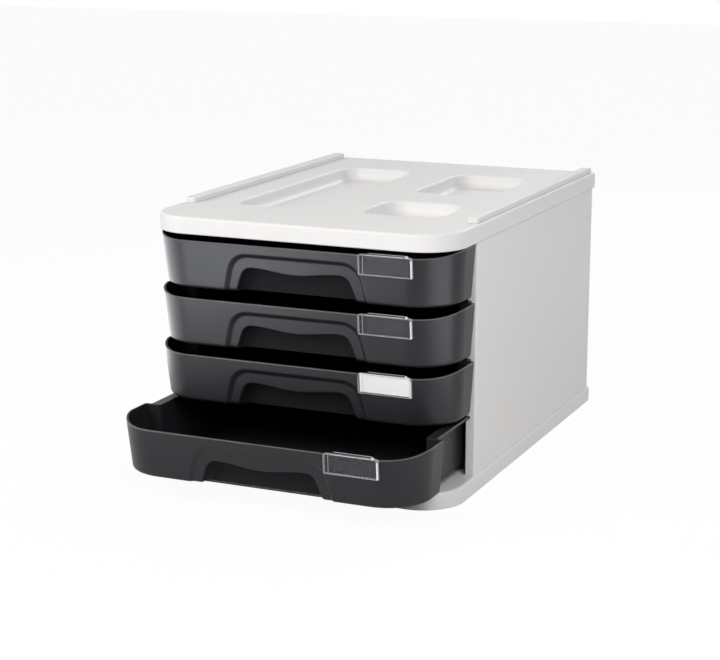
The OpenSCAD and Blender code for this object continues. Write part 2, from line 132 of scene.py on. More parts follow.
class TrayDrawerSizes(bpy.types.PropertyGroup):
    """Sizes of a drawer."""

    side_height: length("Side height", "Height of the drawers' sides", 46.8)
    gap: length("Gap", "Clear height between two drawers", 3.7)
    floor_gap: length("Floor gap", "Clear height over the base plate", 5.9)
    setback: length("Setback", "From the plates' front to the drawers' fronts", 0.3)
    opened: length("Opened", "How far the lowest drawer stands open", 69)
    wall: length("Wall", "Thickness of walls and floors", 2.2)
    front_dip: length("Front dip", "How far the front edge is lower than the sides", 4.6)
    rim_climb: length("Rim climb", "Depth over which the rim climbs to the sides", 34)
    bay_inset: length("Bay inset", "From the plates' sides to the bay's sides", 1)
    bay_depth: length("Bay depth", "Depth of the wide front bay", 61.5)
    side_taper: length("Side taper", "How far the bay's sides lean in at the bottom", 3.4)
    front_taper: length("Front taper", "How far the front leans back at the bottom", 4)
    corner_radius: length("Corner radius", "Radius of the front corners in plan", 39)
    bottom_round: length("Bottom edge", "Rounding of the bottom edge", 3)
    inner_round: length("Inner edge", "Rounding between walls and floor", 2.4)
    bay_rear_radius: length("Bay rear corners", "Radius of the bay's rear corners in plan", 2.5)
    tray_half: length("Tray half width", "Half the outside width of the tray", 127.2)
    tray_length: length("Length", "Length of a drawer", 381.7)
    flange_half: length("Flange half width", "Half the width over the flanges", 135.2)
    flange: length("Flange", "Thickness of the flanges", 2.2)
    rear_dip: length("Rear dip", "How far the rear wall is lower than the sides", 6)
    rim_round: length("Rim", "Rounding of the rim", 0.8)
    lug_y: length("Lug place", "From a drawer's front to its stop lugs", 311)
    lug: length("Lug", "Height of a stop lug", 1.5)
    lug_length: length("Lug length", "Length of a stop lug and of its tooth", 5)
    groove_depth: length("Groove", "Depth of the grooves in the side panels", 4)
    mouth_foot: length("Mouth foot", "Half the width of a pocket's mouth at the bottom", 56.5)
    mouth_crown: length("Mouth crown", "Half the width of the mouth near its top", 48.5)
    mouth_height: length("Mouth height", "Height of the mouth at its ends", 21.6)
    mouth_sag: length("Lip sag", "How far the lip hangs lower in the middle", 3.6)
    mouth_edge: length("Lip edge", "Rounding of the lip", 1.1)
    pocket_depth: length("Pocket depth", "Depth of a finger pocket", 18)
    pocket_round: length("Pocket round", "Rounding at the back of a finger pocket", 6)
    press_depth: length("Press depth", "Depth of the arch pressed in round the mouth", 2.2)
    press_out: length("Press outer", "From the mouth to the pressed arch's outer edge", 11.4)
    press_in: length("Press inner", "From the mouth to the pressed arch's inner edge", 7.2)
    press_rise: length("Press rise", "Height of the arch's outer edge over the mouth", 13.2)


class TrayLabelSizes(bpy.types.PropertyGroup):
    """Sizes of a clear label holder."""

    width: length("Width", "Width of a holder", 48.5)
    height: length("Height", "Height of a holder below the drawer's edge", 16.5)
    margin: length("Margin", "From the plates' sides to a holder's outer edge", 33.4)
    sheet: length("Sheet", "Thickness of the clear sheet", 0.8)
    slot: length("Slot", "Thickness of the slot for the card", 0.8)
    edge: length("Edge", "Width of the ring's left, upper and lower sides", 0.6)
    bar: length("Bar", "Width of the ring's right side", 1.6)
    corner: length("Corner", "Radius of the ring's upper corners", 2.4)
    channel: length("Channel", "From the ring's left side to the fine step inside it", 4.2)
    stub: length("Stub", "Radius of the round stub beside the hook", 1.2)
    hook: length("Hook", "Width of the hook over the drawer's edge", 34)
    leg: length("Leg", "Length of the hook's leg", 8)
    gap: length("Gap", "Clearance between the holder and the drawer", 0.3)


class TrayFinishes(bpy.types.PropertyGroup):
    """Colours of the finishes and the light."""

    housing: colour("Housing", "Pale plastic of the housing", (0.735, 0.725, 0.718))
    drawer: colour("Drawer", "Charcoal plastic of the drawers", (0.018, 0.018, 0.0215))
    # the paler charcoal of the drawers' upper edge is a painted highlight
    rim_highlight: colour("Rubbed edge", "Rubbed upper edge of the drawers", (0.11, 0.11, 0.115))
    clear: colour("Clear", "Clear plastic of the label holders", (0.80, 0.83, 0.86))
    card: colour("Card", "White label card", (0.86, 0.86, 0.85))
    steel: colour("Steel", "Steel of the screws", (0.50, 0.50, 0.51))
    floor: colour("Floor", "Pale floor", (0.90, 0.90, 0.90))
    key: amount("Key light", "Power of the lamp at the front left in watts", 16.8, 500.0)
    side: amount("Side light", "Power of the lamp at the front right in watts", 11.2, 500.0)
    rear: amount("Rear light", "Power of the lamp at the rear right in watts", 8.0, 500.0)
    top: amount("Top light", "Power of the small lamp overhead in watts", 1.2, 500.0)
    gleam: amount("Gleam", "Power of the rear lamp for gloss alone in watts", 4.6, 500.0)
    sheen: amount("Sheen", "Power of the front left panel for gloss alone in watts", 6.0, 500.0)
    edge: amount("Edge", "Power of the left panel for gloss alone in watts", 8.4, 500.0)
    glint: amount("Glint", "Power of the right panel for gloss alone in watts", 3.7, 500.0)
    sky: amount("Sky", "Strength of the even light from all round", 0.25, 5.0)


# ---------------------------------------------------------------- mesh helpers


def arc(x, y, radius, start, end, count):
    """Points at radius from (x, y), at even angles from start to end in degrees."""
    a = np.radians(np.linspace(start, end, count))
    return np.stack([x + radius * np.cos(a), y + radius * np.sin(a)], -1)


def circle(x, y, radius, count):
    """Points all round (x, y) at radius."""
    return arc(x, y, radius, 0, 360, count + 1)[:-1]


def quarter(count):
    """Sine and cosine at even angles from 0 to 90 degrees."""
    a = np.linspace(0, math.pi / 2, count)
    return np.sin(a), np.cos(a)


def soft(t):
    """The smooth step: 3t squared less 2t cubed, with t kept between 0 and 1."""
    t = np.clip(t, 0, 1)
    return t * t * (3 - 2 * t)


def lift(loop, z):
    """A flat loop of (x, y) points carried to height z, which may differ from point to point."""
    return np.column_stack([loop, np.broadcast_to(z, len(loop))])


class Shell:
    """Gathers grid patches, flat fills and bars, and makes one mesh object of them."""

    def __init__(self):
        self.points, self.faces, self.slots, self.count = [], [], [], 0

    def add(self, points, faces, slot):
        """Takes in points and the faces between them, which count from the first point."""
        self.points.append(np.asarray(points, float).reshape(-1, 3))
        self.faces += (np.asarray(faces) + self.count).tolist()
        self.slots += [slot] * len(faces)
        self.count += len(self.points[-1])

    def grid(self, rows, closed=False, slot=0):
        """Quads between each row of points and the next; a closed row joins up with its start."""
        rows = np.asarray(rows)
        m, n = rows.shape[:2]
        index = np.arange(m * n).reshape(m, n)
        if closed:
            index = np.concatenate([index, index[:, :1]], axis=1)
        corners = index[:-1, :-1], index[:-1, 1:], index[1:, 1:], index[1:, :-1]
        self.add(rows, np.stack(corners, -1).reshape(-1, 4), slot)

    def flat(self, *loops, slot=0):
        """Fills a flat outer loop of (x, y, z) points, less any further loops as holes."""
        triangles = tessellate_polygon([loop.tolist() for loop in loops])
        self.add(np.concatenate(loops), triangles, slot)

    def bars(self, low, high, slot=0):
        """Plain bars between arrays of lowest and highest corners."""
        low, high = np.atleast_2d(low).astype(float), np.atleast_2d(high).astype(float)
        pick = np.array([[i, j, k] for i in (0, 1) for j in (0, 1) for k in (0, 1)])
        points = np.where(pick[None], high[:, None], low[:, None])
        sides = np.array(
            [[0, 1, 3, 2], [4, 6, 7, 5], [0, 4, 5, 1], [2, 3, 7, 6], [0, 2, 6, 4], [1, 5, 7, 3]]
        )
        faces = (sides[None] + 8 * np.arange(len(low))[:, None, None]).reshape(-1, 4)
        self.add(points, faces, slot)

    def make(self, name, materials, shift=(0, 0, 0), sharp=38, weighted=True):
        """The finished object: doubles merged, faces outward, smooth below the sharp angle."""
        mesh = bpy.data.meshes.new(name)
        points = np.concatenate(self.points) + np.asarray(shift, float)
        mesh.from_pydata(points.tolist(), [], self.faces)
        mesh.polygons.foreach_set("material_index", self.slots)
        work = bmesh.new()
        work.from_mesh(mesh)
        bmesh.ops.remove_doubles(work, verts=work.verts, dist=2e-6)
        bmesh.ops.dissolve_degenerate(work, edges=work.edges, dist=1e-7)
        bmesh.ops.recalc_face_normals(work, faces=work.faces)
        work.to_mesh(mesh)
        work.free()
        mesh.polygons.foreach_set("use_smooth", np.ones(len(mesh.polygons), bool))
        mesh.set_sharp_from_angle(angle=math.radians(sharp))
        piece = bpy.data.objects.new(name, mesh)
        bpy.context.scene.collection.objects.link(piece)
        for material in materials:
            mesh.materials.append(material)
        if weighted:
            normals = piece.modifiers.new("normals", "WEIGHTED_NORMAL")
            normals.keep_sharp = True
        return piece


def finish(piece, body, slot, *nodes):
    """The piece rides on its body and stands for nodes, whose CAD parts it hides; slot is not used.
    """
    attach(piece, body)
    if nodes:
        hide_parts(*nodes)


# ---------------------------------------------------------------- materials


class Value:
    """A socket in a material. Arithmetic on it adds Math nodes."""

    def __init__(self, paint, socket):
        self.paint, self.socket = paint, socket

    def __add__(self, other):
        return self.paint.math("ADD", self, other)

    def __sub__(self, other):
        return self.paint.math("SUBTRACT", self, other)

    def __rsub__(self, other):
        return self.paint.math("SUBTRACT", other, self)

    def __mul__(self, other):
        return self.paint.math("MULTIPLY", self, other)

    __radd__ = __add__
    __rmul__ = __mul__


class Paint:
    """The shader nodes of a material or a world under construction."""

    def __init__(self, owner, output):
        owner.use_nodes = True
        self.owner, self.tree = owner, owner.node_tree
        self.tree.nodes.clear()
        self.out = self.node(output, {})

    def node(self, kind, settings, **inputs):
        """A node of a kind. Settings come first, then the value or link of each input. An
        underscore in an input's name stands for a space, and in0, in1 count unnamed ones."""
        node = self.tree.nodes.new(kind)
        for key, value in settings.items():
            setattr(node, key, value)
        for key, value in inputs.items():
            counted = key[:2] == "in" and key[2:].isdigit()
            self.set(node.inputs[int(key[2:]) if counted else key.replace("_", " ")], value)
        return node

    def set(self, socket, value):
        """Links a Value to a socket, or writes a constant on it."""
        if isinstance(value, Value):
            self.tree.links.new(value.socket, socket)
        elif isinstance(value, tuple) and len(value) == 3 and socket.type == "RGBA":
            socket.default_value = (*value, 1)
        else:
            socket.default_value = value

    def value(self, node, output):
        """One of a node's outputs, by name or number."""
        return Value(self, node.outputs[output])

    def math(self, operation, a, b):
        """A Math node on two values."""
        return self.value(self.node("ShaderNodeMath", {"operation": operation}, in0=a, in1=b), 0)

    def clamp(self, value):
        """The value kept between 0 and 1."""
        return self.value(self.node("ShaderNodeClamp", {}, Value=value), 0)

    def surface(self, shader):
        """Sends a shader to the output."""
        self.set(self.out.inputs["Surface"], self.value(shader, 0))

    def place(self, stretch=(1, 1, 1)):
        """The object's own coordinates in metres, stretched along each axis."""
        source = self.value(self.node("ShaderNodeTexCoord", {}), "Object")
        return self.value(self.node("ShaderNodeMapping", {}, Vector=source, Scale=stretch), 0)

    def noise(self, scale, detail=2.0, stretch=(1, 1, 1)):
        """Noise about 0.5, with this many features to the metre."""
        place = self.place(stretch)
        node = self.node("ShaderNodeTexNoise", {}, Vector=place, Scale=scale, Detail=detail)
        return self.value(node, "Fac")

    def grain(self, scale):
        """Smooth pits of a sparked mould, at this many to the metre."""
        cells = {"feature": "SMOOTH_F1"}
        node = self.node("ShaderNodeTexVoronoi", cells, Vector=self.place(), Scale=scale)
        return self.value(node, "Distance")

    def mix(self, factor, a, b):
        """Colour a where the factor is 0, and b where it is 1."""
        node = self.node("ShaderNodeMix", {"data_type": "RGBA"}, in0=factor, in6=a, in7=b)
        return self.value(node, 2)

    def mix_shaders(self, factor, a, b):
        """Shader a where the factor is 0, and b where it is 1."""
        a, b = self.value(a, 0), self.value(b, 0)
        return self.node("ShaderNodeMixShader", {}, in0=factor, in1=a, in2=b)

    def white_seen(self, share_in_gloss):
        """1 for what the camera sees, and the share of it that gloss and clear plastic show."""
        ways = self.node("ShaderNodeLightPath", {})
        gloss = self.value(ways, "Is Glossy Ray") + self.value(ways, "Is Transmission Ray")
        return self.clamp(self.value(ways, "Is Camera Ray") + gloss * share_in_gloss)


class Plastic(Paint):
    """A material with one Principled shader, whose constants stand on its own sockets."""

    def __init__(self, name, rgb, **constants):
        super().__init__(bpy.data.materials.new(name), "ShaderNodeOutputMaterial")
        self.shader = self.node("ShaderNodeBsdfPrincipled", {}, Base_Color=rgb, **constants)
        self.surface(self.shader)
        self.owner.diffuse_color = (*rgb, 1)

    def vary(self, name, value):
        """Drives one of the shader's sockets."""
        self.set(self.shader.inputs[name], value)

    def bump(self, height, depth):
        """Relief on the shader's normal; depth is the height's scale in metres."""
        node = self.node("ShaderNodeBump", {}, Height=height, Distance=depth)
        self.vary("Normal", self.value(node, 0))


def tone(rgb, scale):
    """A colour made darker or paler, and no paler than white."""
    return tuple(min(1.0, c * scale) for c in rgb)


def moulded(name, rgb, roughness, spread, grain_depth, gloss):
    """Moulded plastic: a fine sparked grain, faint flow marks and a little uneven gloss. Spread
    is how far its colour varies, and grain_depth is in metres."""
    paint = Plastic(name, rgb, Roughness=roughness, IOR=1.5, Specular_IOR_Level=gloss)
    flow = paint.noise(9.0, 3.0, (1.0, 0.35, 1.6))
    dust = paint.noise(160.0, 4.0)
    shade = paint.clamp(flow * 0.7 + dust * 0.3)
    paint.vary("Base Color", paint.mix(shade, tone(rgb, 1 - spread), tone(rgb, 1 + spread)))
    paint.vary("Roughness", paint.clamp(roughness - 0.06 + 0.08 * flow + 0.04 * dust))
    paint.bump(paint.grain(2600.0) + 0.6 * paint.noise(1400.0), grain_depth)
    return paint.owner


def rim_highlight(name, rgb, highlit):
    """A charcoal edge painted paler as a highlight, broken up by noise into uneven patches."""
    paint = Plastic(name, rgb, Roughness=0.3, IOR=1.5)
    # the share of the painted highlight, made uneven by noise
    highlight_share = paint.clamp(0.75 + 1.2 * (paint.noise(55.0, 4.0) - 0.5))
    paint.vary("Base Color", paint.mix(highlight_share, rgb, highlit))
    paint.vary("Roughness", paint.clamp(0.4 - 0.14 * highlight_share))
    return paint.owner


def clear_plastic(name, rgb, alpha):
    """Clear plastic that shows as a faint film, a little cloudier in places."""
    paint = Plastic(name, rgb, Roughness=0.12, IOR=1.49, Coat_Weight=0.6, Coat_Roughness=0.05)
    haze = paint.noise(60.0, 3.0)
    paint.vary("Alpha", paint.clamp(alpha * (0.8 + 0.4 * haze)))
    paint.bump(paint.noise(90.0), 0.00004)
    return paint.owner


def paper(name, rgb):
    """Card stock: short fibres in the surface and a faint mottle."""
    paint = Plastic(name, rgb, Roughness=0.75, IOR=1.45)
    mottle = paint.noise(300.0, 4.0)
    paint.vary("Base Color", paint.mix(mottle, tone(rgb, 0.96), tone(rgb, 1.03)))
    paint.bump(paint.noise(1500.0, 3.0, (1.0, 1.0, 3.0)), 0.00003)
    return paint.owner


def turned_steel(name, rgb):
    """Zinc-plated steel: fine turning lines and patches of duller plating."""
    paint = Plastic(name, rgb, Metallic=1.0, Roughness=0.32)
    patch = paint.noise(500.0, 3.0)
    paint.vary("Base Color", paint.mix(patch, tone(rgb, 0.85), tone(rgb, 1.12)))
    paint.vary("Roughness", paint.clamp(0.22 + 0.22 * patch))
    paint.bump(paint.noise(2500.0, 2.0, (1.0, 1.0, 0.1)), 0.00003)
    return paint.owner


def finishes():
    """The object's materials, made once and found by name after that."""
    f = bpy.context.scene.tray_finishes
    pale, dark, clear = tuple(f.housing), tuple(f.drawer), tuple(f.clear)
    makers = {
        "satin_housing": lambda n: moulded(
            n, pale, roughness=0.39, spread=0.02, grain_depth=0.00003, gloss=0.45
        ),
        "charcoal_drawer": lambda n: moulded(
            n, dark, roughness=0.36, spread=0.10, grain_depth=0.000012, gloss=0.27
        ),
        # darker charcoal inside the finger pocket: painted shade, with a rougher and duller gloss
        "pocket_painted_shade": lambda n: moulded(
            n, tone(dark, 0.7), roughness=0.75, spread=0.10, grain_depth=0.00002, gloss=0.15
        ),
        # the drawers' rim rounding takes a paler charcoal, a painted highlight
        "rim_painted_highlight": lambda n: rim_highlight(n, dark, highlit=tuple(f.rim_highlight)),
        "clear_sheet": lambda n: clear_plastic(n, clear, alpha=0.008),
        # the edge and bar finishes are clear plastic made more opaque, so the ring, bars and stub
        # show as painted highlights
        "clear_edge_highlight": lambda n: clear_plastic(n, clear, alpha=0.24),
        "clear_bar_highlight": lambda n: clear_plastic(n, clear, alpha=0.80),
        "label_paper": lambda n: paper(n, tuple(f.card)),
        "screw_steel": lambda n: turned_steel(n, tuple(f.steel)),
    }
    return {n: bpy.data.materials.get(n) or make(n) for n, make in makers.items()}


def dress(node, material):
    """Gives a CAD node one material."""
    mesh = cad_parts[node].data
    mesh.materials.clear()
    mesh.materials.append(material)


# ---------------------------------------------------------------- housing


def plate_loop(low, high, front, rear, inset):
    """A plate's outline: a rectangle with front and rear corner radii, set in all round.
    Each corner is an arc at the radius less the inset, about the same centre."""
    left, right, y = low[0] + front, high[0] - front, low[1] + front
    radius = max(rear - inset, LEAST)
    slip = inset - min(inset, rear - LEAST)  # at its least radius a rear corner moves instead
    rear_left, rear_right = low[0] + rear + slip, high[0] - rear - slip
    rear_y = high[1] - rear - slip
    return np.concatenate(
        [
            arc(left, y, front - inset, 180, 270, CORNER_STEPS),
            arc(right, y, front - inset, 270, 360, CORNER_STEPS),
            arc(rear_right, rear_y, radius, 0, 90, 8),
            arc(rear_left, rear_y, radius, 90, 180, 8),
        ]
    )


def recess_loop(x0, x1, y0, y1, corner, inset):
    """A recess's outline: a rectangle with equal corner radii, set in all round."""
    r = corner - inset
    centres = [
        (x0 + corner, y0 + corner, 180),
        (x1 - corner, y0 + corner, 270),
        (x1 - corner, y1 - corner, 0),
        (x0 + corner, y1 - corner, 90),
    ]
    return np.concatenate([arc(x, y, r, a, a + 90, 10) for x, y, a in centres])


def inner_half_width(y, low, high, front, inset):
    """Half the width of a plate's outline, set in, at depth y."""
    radius = front - inset
    short = np.clip(low[1] + front - y, 0, radius)
    return high[0] - front + np.sqrt(radius**2 - short**2)


def clear_spans(start, end, blocks):
    """What is left of the span from start to end between blocks, given as (from, to) in order."""
    spans = []
    for a, b in sorted(blocks):
        spans.append((start, a))
        start = b
    return spans + [(start, end)]


def ribs(shell, low, high, h, z0, z1, hollows=()):
    """Crossing bars at an even pitch under a plate, cut to the plate's outline and where they
    would meet a hollow, given as (x0, x1, y0, y1)."""
    front, skin, t = h.front_radius, h.skin, h.rib / 2
    pitch_limit = (high[1] - low[1]) / 10  # a tenth of the plate's depth
    span_x, span_y = high[0] - low[0] - 2 * skin, high[1] - low[1] - 2 * skin
    count_x, count_y = math.ceil(span_x / pitch_limit), math.ceil(span_y / pitch_limit)
    x = -span_x / 2 + np.arange(1, count_x) * span_x / count_x
    y = low[1] + skin + np.arange(1, count_y) * span_y / count_y
    radius = front - skin
    over = np.clip(np.abs(x) + t - (high[0] - front), 0, radius)
    start = low[1] + front - np.sqrt(radius**2 - over**2)
    half = inner_half_width(y - t, low, high, front, skin)
    ends = []
    for at, first in zip(x, start):
        blocks = [(y0, y1) for x0, x1, y0, y1 in hollows if x0 - t < at < x1 + t]
        for a, b in clear_spans(first, high[1] - skin, blocks):
            ends.append([[at - t, a, z0], [at + t, b, z1]])
    for at, side in zip(y, half):
        blocks = [(x0, x1) for x0, x1, y0, y1 in hollows if y0 - t < at < y1 + t]
        for a, b in clear_spans(-side, side, blocks):
            ends.append([[a, at - t, z0], [b, at + t, z1]])
    ends = np.array(ends)
    shell.bars(ends[:, 0], ends[:, 1])


def plate_rows(low, high, h):
    """A plate's rim, as loops from under the skin, round the rim and over onto the top.
    The edges are quarter circles carried round the outline."""
    s, c = quarter(6)
    z0, z1 = low[2], high[2]
    under = z1 - h.skin
    profile = [(h.skin + LEDGE, under), (h.skin, under), (h.skin, z0 + SLIM_STRIP)]
    profile += [(h.skin - SLIM_STRIP, z0), (h.low_edge, z0)]
    profile += [(h.low_edge * (1 - a), z0 + h.low_edge * (1 - b)) for a, b in zip(s[1:], c[1:])]
    profile += [(h.top_edge * (1 - b), z1 - h.top_edge * (1 - a)) for a, b in zip(s, c)]
    profile += [(h.top_edge + STRIP, z1)]
    radii = h.front_radius, h.rear_radius
    return np.stack([lift(plate_loop(low, high, *radii, inset), z) for inset, z in profile])


def recess_rects(low, high, h):
    """The recesses in the top as (x0, x1, y0, y1): left, front right and rear right."""
    side = high[0] - h.recess_margin
    front, rear = low[1] + h.recess_front, high[1] - h.recess_rear
    return [
        (-side, -h.recess_middle, front, rear),
        (h.recess_middle, side, front, front + h.recess_short),
        (h.recess_middle, side, rear - h.recess_long, rear),
    ]


def make_top_plate():
    """The top plate: a rim carried round its outline, a flat skin and three recesses in it.
    A recess is its own outline carried down: lip, drafted wall, foot and floor."""
    h = bpy.context.scene.tray_housing_sizes
    low, high = PLATE_LOW, PLATE_HIGH
    shell = Shell()
    rows = plate_rows(low, high, h)
    shell.grid(rows, closed=True)
    rects = recess_rects(low, high, h)
    s, c = quarter(6)
    top, floor, draft = high[2], high[2] - h.recess_depth, 0.6 * MM
    lip, foot = h.recess_lip, h.recess_foot
    seen = [(-lip - STRIP, top)]
    seen += [(-lip * (1 - a), top - lip * (1 - b)) for a, b in zip(s, c)]
    seen += [(draft + foot * (1 - b), floor + foot * (1 - a)) for a, b in zip(s, c)]
    seen += [(draft + foot + STRIP, floor)]
    beneath = floor - h.skin
    hidden = [(-h.skin, top - h.skin), (-h.skin, beneath + LEDGE), (LEDGE - h.skin, beneath)]
    mouths, backs = [], []
    for rect in rects:
        for profile, openings in ((seen, mouths), (hidden, backs)):
            loops = [lift(recess_loop(*rect, h.recess_corner, i), z) for i, z in profile]
            shell.grid(loops, closed=True)
            shell.flat(loops[-1])
            openings.append(loops[0])
    shell.flat(rows[-1], *mouths)
    shell.flat(rows[0], *backs)
    m = finishes()
    piece = shell.make("top_plate_shell", [m["satin_housing"]])
    finish(piece, HOUSING, "housing", "top_plate")
    under = Shell()
    wall = h.skin - BITE
    pans = [(x0 - wall, x1 + wall, y0 - wall, y1 + wall) for x0, x1, y0, y1 in rects]
    ribs(under, low, high, h, low[2], top - wall, pans)
    finish(under.make("top_plate_ribs", [m["satin_housing"]], weighted=False), HOUSING, "housing")


def floor_loop(low, high, h, inset):
    """The outline of the base plate's shallow floor, set in all round. It follows the plate's
    front corners, stops at the side panels' front faces and goes on between the panels."""
    r = h.front_radius - h.floor_margin - inset
    x, y = high[0] - h.front_radius, low[1] + h.front_radius
    wide, stop = high[0] - h.floor_margin - inset, PANEL_LOW[1] - inset
    narrow, rear = PANEL_LOW[0] - inset, PANEL_HIGH[1] - h.floor_margin - inset
    right = np.array([[wide, stop], [narrow, stop], [narrow, rear]])
    left = right[::-1] * (-1, 1)
    corners = arc(-x, y, r, 180, 270, CORNER_STEPS), arc(x, y, r, 270, 360, CORNER_STEPS)
    return np.concatenate([*corners, right, left])


def make_base_plate():
    """The base plate: a rim carried round its outline, a skin with a shallow floor, and ribs and
    screw bosses underneath. A boss is a tube: two circles carried down from the skin."""
    h = bpy.context.scene.tray_housing_sizes
    low, high = BASE_LOW, BASE_HIGH
    shell = Shell()
    rows = plate_rows(low, high, h)
    shell.grid(rows, closed=True)
    s, c = quarter(4)
    e = h.floor_depth / 2
    profile = [(-SLIM_STRIP, 0.0)]
    profile += [(e * a, e * (1 - b)) for a, b in zip(s, c)]
    profile += [(e + e * (1 - b), e + e * a) for a, b in zip(s, c)]
    profile += [(2 * e + SLIM_STRIP, 2 * e)]
    step = np.stack([lift(floor_loop(low, high, h, i), high[2] - down) for i, down in profile])
    shell.grid(step, closed=True)
    shell.flat(rows[-1], step[0])
    shell.flat(step[-1])
    shell.flat(rows[0])
    m = finishes()
    finish(shell.make("base_plate_shell", [m["satin_housing"]]), HOUSING, "housing", "base_plate")
    under = Shell()
    z0, z1 = low[2] + h.rib_lift, high[2] - h.skin + BITE
    ribs(under, low, high, h, z0, z1)
    head_gap, boss_wall = 0.3 * MM, 1.2 * MM
    for n in SCREWS:
        a, b = (np.array(v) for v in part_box(f"base_screw_{n}"))
        x, y = (a[:2] + b[:2]) / 2
        bore = (b[0] - a[0]) / 2 + head_gap
        boss = bore + boss_wall
        tube = [(bore, z1), (bore, z0), (boss, z0), (boss, z1)]
        under.grid([lift(circle(x, y, r, 32), z) for r, z in tube], closed=True)
    finish(under.make("base_plate_ribs", [m["satin_housing"]], weighted=False), HOUSING, "housing")


def drawer_height(n):
    """Height of drawer n's underside over the surface that the housing stands on."""
    d = bpy.context.scene.tray_drawer_sizes
    return BASE_HIGH[2] + d.floor_gap + (len(DRAWERS) - n) * (d.side_height + d.gap)


def make_side_panels():
    """Each side panel: one cross-section with four grooves, carried from front to back. At the
    ends its faces close in by r less the root of r squared less (r - depth) squared, which
    rounds the upright edges."""
    h = bpy.context.scene.tray_housing_sizes
    d = bpy.context.scene.tray_drawer_sizes
    m = finishes()
    x0, x1 = PANEL_LOW[0], PANEL_HIGH[0]
    y0, y1 = PANEL_LOW[1], PANEL_HIGH[1]
    z0, z1 = BASE_HIGH[2], PLATE_LOW[2]
    deep = x0 + d.groove_depth
    gap_under, gap_over = 0.3 * MM, 0.5 * MM  # between a flange and its groove
    groove_floor = d.side_height - d.flange - gap_under - d.lug
    section = [(x1 - h.seam, z0), (x1, z0 + h.seam), (x1, z1 - h.seam), (x1 - h.seam, z1)]
    for n in DRAWERS:
        roof, floor = (drawer_height(n) + v for v in (d.side_height + gap_over, groove_floor))
        section += [(deep, z1)] if n == 1 else [(x0, roof), (deep, roof)]
        section += [(deep, floor), (x0, floor)]
    section = np.array(section + [(x0, z0)])
    front, r = h.panel_front, h.panel_edge

    def close_in(radius, depth):
        """How far a rounded edge stands in at a depth behind the panel's end."""
        return radius - np.sqrt(radius**2 - np.clip(radius - depth, 0, radius) ** 2)

    a = np.linspace(0, math.pi / 2, 8)
    y = np.concatenate([y0 + front * (1 - np.cos(a)), y1 - r * (1 - np.cos(a[::-1]))])
    inner = close_in(r, y - y0) + close_in(r, y1 - y)
    outer = close_in(front, y - y0) + close_in(r, y1 - y)
    for side, name in ((-1, "left"), (1, "right")):
        shell = Shell()
        rows = []
        for at, narrow_in, narrow_out in zip(y, inner, outer):
            x = np.clip(section[:, 0], x0 + narrow_in, x1 - narrow_out)
            rows.append(np.stack([side * x, np.full(len(x), at), section[:, 1]], -1))
        shell.grid(rows, closed=True)
        shell.flat(rows[0])
        shell.flat(rows[-1])
        tooth_x0, tooth_x1 = sorted((side * x0, side * deep))
        teeth = [drawer_height(n) + groove_floor for n in DRAWERS]
        shell.bars(
            [(tooth_x0 + r, y0 + r, z) for z in teeth],
            [(tooth_x1 - BITE, y0 + d.lug_length, z + d.lug) for z in teeth],
        )
        piece = shell.make(f"{name}_panel_shell", [m["satin_housing"]], sharp=30)
        finish(piece, HOUSING, "housing", f"{name}_side_panel")


def make_rails():
    """Each stacking rail: a rounded rectangle carried up and closed in along a quarter circle
    at the top."""
    h = bpy.context.scene.tray_housing_sizes
    m = finishes()
    s, c = quarter(6)
    for name in ("left", "right"):
        low, high = (np.array(v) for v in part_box(f"{name}_stacking_rail"))
        e = h.rail_edge
        foot = 0.3 * MM  # height of the chamfer at the rail's foot
        profile = [(STRIP, low[2]), (0.0, low[2] + foot)]
        profile += [(e * (1 - b), high[2] - e * (1 - a)) for a, b in zip(s, c)]
        profile += [(e + SLIM_STRIP, high[2])]
        rect = low[0], high[0], low[1], high[1]
        rows = np.stack([lift(recess_loop(*rect, h.rail_end, i), z) for i, z in profile])
        shell = Shell()
        shell.grid(rows, closed=True)
        shell.flat(rows[0])
        shell.flat(rows[-1])
        piece = shell.make(f"{name}_rail_shell", [m["satin_housing"]])
        finish(piece, HOUSING, "rail", f"{name}_stacking_rail")


# ---------------------------------------------------------------- drawers


